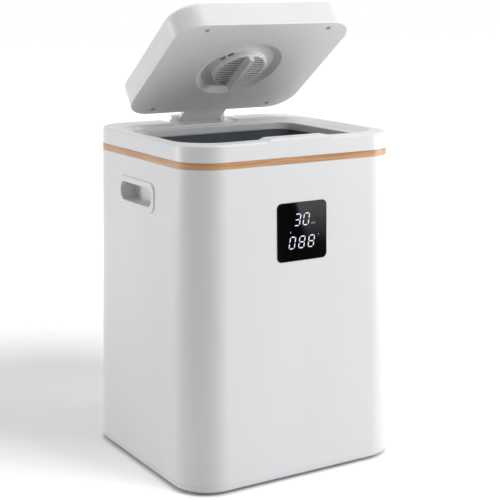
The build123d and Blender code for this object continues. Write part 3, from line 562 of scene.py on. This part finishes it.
lid_normal = Vector((0, math.sin(LID_OPEN), math.cos(LID_OPEN)))
lean = math.atan(SIDE_DRAFT)
screw_ways = {
    "base_screws": (Vector((0, 0, -1)), "case"),
    "board_screws": (Vector((0, math.cos(lean), -math.sin(lean))), "case"),
    "power_board_screws": (Vector((0, 0, 1)), "case"),
    "rim_screws": (Vector((0, 0, -1)), "case"),
    "lid_screws": (-lid_normal, "lid"),
    "hinge_arm_screws": (lid_normal, "lid"),
}
for name, (way, body) in screw_ways.items():
    parts = loose_parts(name, way)
    shank = parts[0][2] - parts[0][1] - SCREW_HEAD * MM
    half_outline = screw_profile(
        SCREW_RADIUS * MM, SCREW_HEAD_RADIUS * MM, SCREW_HEAD * MM, shank, SCREW_PITCH * MM
    )
    blank = new_object("blank", turned_mesh("blank", half_outline, SCREW_SIDES), screw_steel)
    cross = bpy.data.meshes.new("cross")
    cutter = bmesh.new()
    for wide, deep in ((CROSS_LENGTH, CROSS_WIDTH), (CROSS_WIDTH, CROSS_LENGTH)):
        box = bmesh.ops.create_cube(cutter, size=1.0)["verts"]
        bmesh.ops.scale(cutter, vec=(wide * MM, deep * MM, CROSS_DEPTH * MM), verts=box)
    cutter.to_mesh(cross)
    cutter.free()
    cutter = new_object("cutter", cross, screw_steel)
    recess = blank.modifiers.new("recess", "BOOLEAN")
    recess.operation = "DIFFERENCE"
    recess.object = cutter
    recess.solver = "EXACT"
    recess.use_self = True
    bpy.context.view_layer.update()
    mesh = bpy.data.meshes.new_from_object(blank.evaluated_get(bpy.context.evaluated_depsgraph_get()))
    bpy.data.objects.remove(blank)
    bpy.data.objects.remove(cutter)
    screw = new_object("screw", mesh, screw_steel)
    angles = tuple(way.to_track_quat("Z", "Y").to_euler())
    tops = [middle + way * high for middle, low, high in parts]
    points = points_mesh(name, tops, turn=[angles] * len(tops))
    mesh = grown_mesh(name + "_threaded", copies, points, {"Copied": screw, "Finish": screw_steel})
    bpy.data.objects.remove(screw)
    piece = new_object(name + "_threaded", mesh, screw_steel)
    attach(piece, body)
    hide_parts(name)


# ---------------------------------------------------------------- display
# A plate of smoked glass, bonded flush into the front. Behind it sit a white bracket, the control board,
# the LED module and the beeper, and three coil springs press on the glass under the touch marks.
glass, place = new_material("smoked_black_glass")
smear = mottle(stretched(place, 60.0, 60.0, 25.0), 1.0, 4.0)
dust = spread(mottle(place, 3200.0, 1.0), 0.74, 0.80)
close_surface(
    tint(dust * 0.25, (0.0018, 0.0018, 0.002, 1.0), (0.02, 0.02, 0.02, 1.0)),
    0.05 + spread(smear, 0.45, 0.8) * 0.05,
    smear,
    0.000003,
    Specular_IOR_Level=0.5,
)
dress(glass, "display_glass")

bracket_plastic = moulded("unpolished_inner_plastic", (0.76, 0.76, 0.76, 1.0), 0.55, 900.0, 0.00006, 0.2)
dress(bracket_plastic, "display_bracket", "gland_nut")

board_mask, place = new_material("green_board_mask")
cells = place.node(
    "ShaderNodeTexVoronoi",
    {"feature": "DISTANCE_TO_EDGE", "distance": "EUCLIDEAN"},
    {"Vector": place, "Scale": 150.0},
)
copper = spread(cells, 0.06, 0.10, 1.0, 0.0)
spots = place.node("ShaderNodeTexVoronoi", {}, {"Vector": place, "Scale": 190.0})
pads = spread(spots, 0.16, 0.20, 1.0, 0.0)
weave = mottle(place, 1600.0, 2.0)
close_surface(
    tint(pads, tint(copper, (0.018, 0.13, 0.055, 1), (0.035, 0.21, 0.09, 1)), (0.68, 0.62, 0.48, 1.0)),
    0.32 + (weave - 0.5) * 0.15 + pads * 0.1,
    copper + pads + weave * 0.3,
    0.00004,
)
dress(board_mask, "control_board", "power_board")

spring_tree, add, given = new_tree(
    "coil_springs",
    {
        "Coil radius": "NodeSocketFloat",
        "Wire radius": "NodeSocketFloat",
        "Height": "NodeSocketFloat",
        "Turns": "NodeSocketFloat",
        "Finish": "NodeSocketMaterial",
    },
)
coil = add(
    "GeometryNodeCurveSpiral",
    {},
    {
        "Resolution": 20,
        "Rotations": given["Turns"],
        "Start Radius": given["Coil radius"],
        "End Radius": given["Coil radius"],
        "Height": given["Height"],
    },
)
wire = add("GeometryNodeCurvePrimitiveCircle", {}, {"Resolution": 8, "Radius": given["Wire radius"]})
bent = add(
    "GeometryNodeCurveToMesh",
    {},
    {"Curve": coil.outputs[0], "Profile Curve": wire.outputs[0], "Fill Caps": True},
)
end_tree(add, copied_to_points(add, given["Geometry"], bent.outputs[0]), given["Finish"])

SPRING_RADIUS = 2.5
SPRING_TURNS = 6.0
WIRE_RADIUS = 0.32
out_of_glass = Vector((0, -math.cos(lean), math.sin(lean)))
parts = loose_parts("touch_springs", out_of_glass)
angles = tuple(out_of_glass.to_track_quat("Z", "Y").to_euler())
wire_radius = WIRE_RADIUS * MM
points = points_mesh(
    "touch_springs",
    [middle + out_of_glass * (low + wire_radius) for middle, low, high in parts],
    turn=[angles] * len(parts),
)
mesh = grown_mesh("touch_coils", spring_tree, points, {
    "Coil radius": SPRING_RADIUS * MM - wire_radius,
    "Wire radius": wire_radius,
    "Height": parts[0][2] - parts[0][1] - 2 * wire_radius,
    "Turns": SPRING_TURNS,
    "Finish": zinc,
})
coils = new_object("touch_coils", mesh, zinc)
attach(coils, "case")
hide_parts("touch_springs")


# ---------------------------------------------------------------- digits
# Seven-segment digits glow lilac white through the glass: minutes above, degrees below. Small unit marks
# stand beside them, and the unlit touch marks along the bottom edge are hardly seen.
DIGIT_WIDTH = 7.0
DIGIT_HEIGHT = 12.9
BAR_WIDTH = 0.95
BAR_GAP = 0.75
SLANT = 0.176
UNIT_SLANT = 0.17
PRINT = 0.04
PRINT_LIFT = 0.03
MARK_ROW = -25.0
MARK_PITCH = 16.0
MARK_RADIUS = 1.9
MARK_LINE = 0.35
RING_STEPS = 28
NUMBERS = (("minutes", "30", -6.2, 13.4, 11.6), ("degrees", "088", -13.2, -12.1, 12.6))
UNITS = (("minutes_unit", "min", 11.2, 7.1, 4.1), ("degrees_unit", "°F", 19.7, -7.0, 3.0))
TOUCH_MARKS = (("power_mark", -1, 120, 420), ("time_mark", 0, 92, 448), ("warmth_mark", 1, -60, 240))
SEGMENT_PLACES = {
    "a": (0, 1, 0), "g": (0, 0, 0), "d": (0, -1, 0),
    "b": (1, 0.5, 1), "c": (1, -0.5, 1), "e": (-1, -0.5, 1), "f": (-1, 0.5, 1),
}
SEGMENTS = {"3": "abcdg", "0": "abcdef", "8": "abcdefg"}
glass_low, glass_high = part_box("display_glass")
glass_tall = glass_high.z - glass_low.z
face_centre = Vector((0, glass_low.y + math.tan(lean) * glass_tall / 2, (glass_low.z + glass_high.z) / 2))
glass_place = Matrix.Translation(face_centre + out_of_glass * PRINT_LIFT * MM) @ Matrix(
    (
        (1, 0, 0, 0),
        (0, math.sin(lean), -math.cos(lean), 0),
        (0, math.cos(lean), math.sin(lean), 0),
        (0, 0, 0, 1),
    )
)

lit, place = new_material("lit_segments")
glow = mottle(place, 900.0, 2.0)
halo = tint(glow, (0.80, 0.70, 0.90, 1.0), (0.95, 0.87, 1.0, 1.0))
close_surface(
    halo,
    0.6 + (glow - 0.5) * 0.1,
    glow,
    0.000002,
    Emission_Color=halo,
    Emission_Strength=0.56,
)

faint, place = new_material("unlit_marks")
ink = mottle(place, 1400.0, 2.0)
close_surface(
    tint(ink, (0.003, 0.003, 0.004, 1.0), (0.005, 0.005, 0.006, 1.0)),
    0.14 + (ink - 0.5) * 0.06,
    ink,
    0.000002,
)

dim, place = new_material("dim_unit_marks")
speckle = mottle(place, 1100.0, 2.0)
dusk = tint(speckle, (0.23, 0.20, 0.26, 1.0), (0.34, 0.30, 0.37, 1.0))
close_surface(
    dusk,
    0.6 + (speckle - 0.5) * 0.1,
    speckle,
    0.000002,
    Emission_Color=dusk,
    Emission_Strength=0.5,
)

segment_tree, add, given = new_tree(
    "digit_segments",
    {"Bar": "NodeSocketObject", "Slant": "NodeSocketFloat", "Finish": "NodeSocketMaterial"},
)
copied = add("GeometryNodeObjectInfo", {}, {"Object": given["Bar"]})
solid = copied_to_points(add, given["Geometry"], copied.outputs["Geometry"])
where = add("ShaderNodeSeparateXYZ", {}, {0: add("GeometryNodeInputPosition", {}, {}).outputs[0]})
push = add("ShaderNodeMath", {"operation": "MULTIPLY"}, {0: where.outputs["Y"], 1: given["Slant"]})
shove = add("ShaderNodeCombineXYZ", {}, {"X": push.outputs[0]})
sheared = add("GeometryNodeSetPosition", {}, {"Geometry": solid, "Offset": shove.outputs[0]})
end_tree(add, sheared.outputs[0], given["Finish"])


def plate_mesh(name, outline):
    """A printed mark: a flat outline in millimetres with the thickness of its print."""
    mesh = bmesh.new()
    face = mesh.faces.new([mesh.verts.new((x * MM, y * MM, 0)) for x, y in outline])
    raised = bmesh.ops.extrude_face_region(mesh, geom=[face])["geom"]
    verts = [part for part in raised if isinstance(part, bmesh.types.BMVert)]
    bmesh.ops.translate(mesh, vec=(0, 0, PRINT * MM), verts=verts)
    bmesh.ops.recalc_face_normals(mesh, faces=mesh.faces)
    made = bpy.data.meshes.new(name)
    mesh.to_mesh(made)
    mesh.free()
    return made


def on_glass(name, mesh, material):
    """Lays a mark that was drawn flat, in metres from the middle of the glass, onto the glass."""
    mesh.transform(glass_place)
    piece = new_object(name, mesh, material)
    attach(piece, "case")
    return piece


bar_length = DIGIT_WIDTH - BAR_WIDTH - 2 * BAR_GAP + BAR_WIDTH * 0.5
half, thick = bar_length / 2, BAR_WIDTH / 2
cut = thick * 0.75
bar_outline = [(-half, 0), (-half + cut, -thick), (half - cut, -thick)]
bar_outline += [(half, 0), (half - cut, thick), (-half + cut, thick)]
for label, text, first, middle, pitch in NUMBERS:
    bar = new_object("bar", plate_mesh("bar", bar_outline), lit)
    places, turns = [], []
    for k, digit in enumerate(text):
        for segment in SEGMENTS[digit]:
            across, up, upright = SEGMENT_PLACES[segment]
            x = first + k * pitch + across * DIGIT_WIDTH / 2 - SLANT * middle
            places.append((x * MM, (middle + up * DIGIT_HEIGHT / 2) * MM, 0))
            turns.append((0, 0, upright * math.pi / 2))
    points = points_mesh(label, places, turn=turns)
    mesh = grown_mesh(label + "_digits", segment_tree, points, {"Bar": bar, "Slant": SLANT, "Finish": lit})
    bpy.data.objects.remove(bar)
    on_glass(label + "_digits", mesh, lit)

for label, text, x, y, tall in UNITS:
    drawn = bpy.data.curves.new(label, "FONT")
    drawn.body = text
    drawn.size = tall * MM
    drawn.extrude = PRINT * MM / 2
    drawn.shear = UNIT_SLANT
    writing = bpy.data.objects.new(label + "_drawn", drawn)
    bpy.context.scene.collection.objects.link(writing)
    bpy.context.view_layer.update()
    mesh = bpy.data.meshes.new_from_object(writing.evaluated_get(bpy.context.evaluated_depsgraph_get()))
    bpy.data.objects.remove(writing)
    mesh.transform(Matrix.Translation((x * MM, y * MM, PRINT * MM / 2)))
    on_glass(label, mesh, dim)

on_glass("heat_mark", plate_mesh("heat_mark", [(-16.4, -0.9), (-14.6, -0.9), (-15.3, 1.1)]), dim)


def arc(x, radius, angles):
    """Points on a circle in the row of touch marks."""
    return [(x + radius * math.cos(a), MARK_ROW + radius * math.sin(a)) for a in angles]


def ring_outline(x, start, end):
    """An open ring from start to end degrees in the row of touch marks, as a flat outline."""
    angles = [math.radians(start + (end - start) * k / RING_STEPS) for k in range(RING_STEPS + 1)]
    return arc(x, MARK_RADIUS, angles) + arc(x, MARK_RADIUS - MARK_LINE, reversed(angles))


for label, column, start, end in TOUCH_MARKS:
    on_glass(label, plate_mesh(label, ring_outline(column * MARK_PITCH, start, end)), faint)
power_bar = [(-16.18, -24.6), (-15.82, -24.6), (-15.82, -22.8), (-16.18, -22.8)]
on_glass("power_bar", plate_mesh("power_bar", power_bar), faint)


# ---------------------------------------------------------------- electronics
# Black moulded parts: thermostat, LED module and beeper. The big parts on the power board are a blue relay,
# a taped transformer, a grey terminal block, a heat sink and capacitors with crimped tin tops.
moulded_black = moulded("moulded_black_parts", (0.045, 0.045, 0.05, 1.0), 0.42, 1300.0, 0.00004, 0.3)
dress(moulded_black, "thermostat", "led_module", "beeper")

board_parts, place = new_material("board_part_finishes")
pressed = mottle(place, 1300.0, 3.0)
x_of = place.node("ShaderNodeSeparateXYZ", {}, {0: place})
y_of = place.node("ShaderNodeSeparateXYZ", {}, {0: place}, 1)
z_of = place.node("ShaderNodeSeparateXYZ", {}, {0: place}, 2)


def within(value, low, high):
    """1 where the value lies between low and high."""
    return value.maths("GREATER_THAN", value, low) * value.maths("LESS_THAN", value, high)


relay = within(x_of, -0.047, -0.026) * within(y_of, 0.003, 0.021)
transformer = within(x_of, -0.019, 0.011) * within(y_of, -0.003, 0.023)
tape = within(z_of, 0.022, 0.032)
terminals = within(x_of, 0.014, 0.046) * within(y_of, 0.016, 0.028)
sink = within(x_of, 0.023, 0.037) * within(y_of, -0.028, -0.008)
tops = within(z_of, 0.0324, 0.0332) + within(z_of, 0.0364, 0.0372)
part_colour = tint(relay, (0.035, 0.035, 0.04, 1.0), (0.03, 0.10, 0.32, 1.0))
part_colour = tint(transformer, part_colour, (0.10, 0.10, 0.10, 1.0))
part_colour = tint(transformer * tape, part_colour, (0.62, 0.47, 0.06, 1.0))
part_colour = tint(terminals, part_colour, (0.42, 0.44, 0.45, 1.0))
part_colour = tint(sink, part_colour, (0.60, 0.60, 0.61, 1.0))
part_colour = tint(tops * (1 - relay) * (1 - transformer), part_colour, (0.55, 0.55, 0.56, 1.0))
close_surface(part_colour, 0.4 + (pressed - 0.5) * 0.2, pressed, 0.00004)
dress(board_parts, "board_components")


# ---------------------------------------------------------------- studio
# A plain pale floor that runs out of view. It looks white to the camera, being whitened for camera rays
# only.
# The whitening is weaker towards the case's soft shadow at the left, a painted deepening of that shadow, and
# it is left out under the case, so the dark gap there shows, with a thin painted edge. Lamps on both sides
# leave the near corner a little darker, and a flag with a lit strip is all that the glass mirrors.
SEEN_RAYS = ("Is Camera Ray", "Is Glossy Ray", "Is Transmission Ray")
# Where the painted shadow in the floor's whitening lies, how far it reaches, and the whitening at its
# middle.
SHADOW_MIDDLE = (-0.12, 0.28, 0.0)
SHADOW_NEAR = 0.15
SHADOW_FAR = 0.9
SHADOW_WHITENING = 0.18
FOOT_CORNER = 0.046
FLOOR_HALF = 9.0
SQUARE = ((-1, -1), (1, -1), (1, 1), (-1, 1))
SKY_LIGHT = 0.17
LAMP_AIM = Vector((0, 0, 0.25))
LAMPS = (
    ("key_lamp", (0.75, -1.61, 1.9), 0.8, 23.9),
    ("right_lamp", (2.5, -1.1, 0.35), 0.9, 42.5),
    ("left_lamp", (-2.2, 1.5, 0.5), 1.0, 27.5),
    ("top_lamp", (0.1, 0.2, 2.6), 1.3, 18.3),
)


def seen_by_camera(tree):
    """1 for a ray from the camera, straight or by way of a mirror or glass."""
    paths = tree.nodes.new("ShaderNodeLightPath").outputs
    camera, glossy, through = [Tone(tree, paths[ray]) for ray in SEEN_RAYS]
    return camera.maths("MAXIMUM", camera, camera.maths("MAXIMUM", glossy, through))


paper, place = new_material("studio_floor")
seen = seen_by_camera(paper.node_tree)
from_shadow = place.node("ShaderNodeVectorMath", {"operation": "DISTANCE"}, {0: place, 1: SHADOW_MIDDLE}, 1)
matt = place.node("ShaderNodeBsdfDiffuse", {}, {"Color": (0.86, 0.86, 0.87, 1.0)})
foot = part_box("base_plate")[1]
inner = (foot.x - FOOT_CORNER, foot.y - FOOT_CORNER, 0.0)
mirrored = place.node("ShaderNodeVectorMath", {"operation": "ABSOLUTE"}, {0: place})
beyond = place.node("ShaderNodeVectorMath", {"operation": "SUBTRACT"}, {0: mirrored, 1: inner})
beyond = place.node("ShaderNodeVectorMath", {"operation": "MAXIMUM"}, {0: beyond, 1: (0.0, 0.0, 0.0)})
from_corner = place.node("ShaderNodeVectorMath", {"operation": "LENGTH"}, {0: beyond}, 1)
outside = spread(from_corner, FOOT_CORNER - 0.006, FOOT_CORNER + 0.004)
# Painted shadow: the whitening falls towards the shadow's middle, and it fades out at the case's foot.
whitening = seen * outside * spread(from_shadow, SHADOW_NEAR, SHADOW_FAR, SHADOW_WHITENING, 1.0)
lift = place.node("ShaderNodeEmission", {}, {"Color": (1.0, 1.0, 1.0, 1.0), "Strength": whitening})
both = place.node("ShaderNodeAddShader", {}, {0: matt, 1: lift})
place.node("ShaderNodeOutputMaterial", {}, {"Surface": both})

floor_mesh = bpy.data.meshes.new("studio_floor")
floor_mesh.from_pydata([(x * FLOOR_HALF, y * FLOOR_HALF, 0) for x, y in SQUARE], [], [(0, 1, 2, 3)])
floor = new_object("studio_floor", floor_mesh, paper)

# The flag hangs where the glass mirrors it. It is black, with a slanting lit strip that fades downwards.
FLAG_MIDDLE = Vector((0.199, -0.428, 0.2294))
FLAG_SCALE = 1.265
FLAG_HALF = 0.048
flag_paper, place = new_material("glass_flag")
flag_spot = place.node("ShaderNodeVectorMath", {"operation": "SUBTRACT"}, {0: place, 1: tuple(FLAG_MIDDLE)})
across = place.node("ShaderNodeSeparateXYZ", {}, {0: flag_spot}) * (1000.0 / FLAG_SCALE)
upward = place.node("ShaderNodeSeparateXYZ", {}, {0: flag_spot}, 2) * (1000.0 / FLAG_SCALE)
strip = spread(across + upward * 0.322, 3.0, 3.5) * spread(upward, -16.0, 26.0, 0.0, 1.0)
card = place.node("ShaderNodeEmission", {}, {"Color": (1.0, 1.0, 1.0, 1.0), "Strength": strip * 1.45 + 0.02})
place.node("ShaderNodeOutputMaterial", {}, {"Surface": card})
flag_mesh = bpy.data.meshes.new("glass_flag")
flag_mesh.from_pydata(
    [tuple(FLAG_MIDDLE + Vector((x * FLAG_HALF, 0, z * FLAG_HALF))) for x, z in SQUARE],
    [],
    [(0, 1, 2, 3)],
)
flag = new_object("glass_flag", flag_mesh, flag_paper)
flag.visible_camera = False
flag.visible_diffuse = False
flag.visible_shadow = False
flag.visible_transmission = False

sky = bpy.data.worlds.new("studio_sky")
bpy.context.scene.world = sky
sky.use_nodes = True
sky.node_tree.nodes.clear()
seen = seen_by_camera(sky.node_tree)
strength = spread(seen, 0.0, 1.0, SKY_LIGHT, 1.0)
glow = seen.node("ShaderNodeBackground", {}, {"Color": (1.0, 1.0, 1.0, 1.0), "Strength": strength})
seen.node("ShaderNodeOutputWorld", {}, {"Surface": glow})

for name, place, size, power in LAMPS:
    lamp = bpy.data.lights.new(name, "AREA")
    lamp.shape = "SQUARE"
    lamp.size = size
    lamp.energy = power
    holder = bpy.data.objects.new(name, lamp)
    holder.location = place
    holder.rotation_euler = (LAMP_AIM - Vector(place)).to_track_quat("-Z", "Y").to_euler()
    bpy.context.scene.collection.objects.link(holder)

bpy.context.scene.view_settings.view_transform = "Standard"


# ---------------------------------------------------------------- camera
# Standing height for a product picture: from the left front, looking a little down, with a long lens.
# The lens is reckoned from its focal length in pixels and the width of the picture.
PICTURE_SIZE = 500.0
FOCAL_PIXELS = 1236.8
SENSOR = 36.0
CAMERA_PLACE = (-0.7521, -1.2498, 0.5613)
yaw, pitch = math.radians(31.39), math.radians(12.27)
camera = bpy.data.cameras.new("camera")
camera.sensor_width = SENSOR
camera.lens = FOCAL_PIXELS * SENSOR / PICTURE_SIZE
camera.clip_start = 0.01
camera.clip_end = 50.0
viewer = bpy.data.objects.new("camera", camera)
bpy.context.scene.collection.objects.link(viewer)
ahead = Vector((math.sin(yaw) * math.cos(pitch), math.cos(yaw) * math.cos(pitch), -math.sin(pitch)))
viewer.location = CAMERA_PLACE
viewer.rotation_euler = ahead.to_track_quat("-Z", "Y").to_euler()
bpy.context.scene.camera = viewer
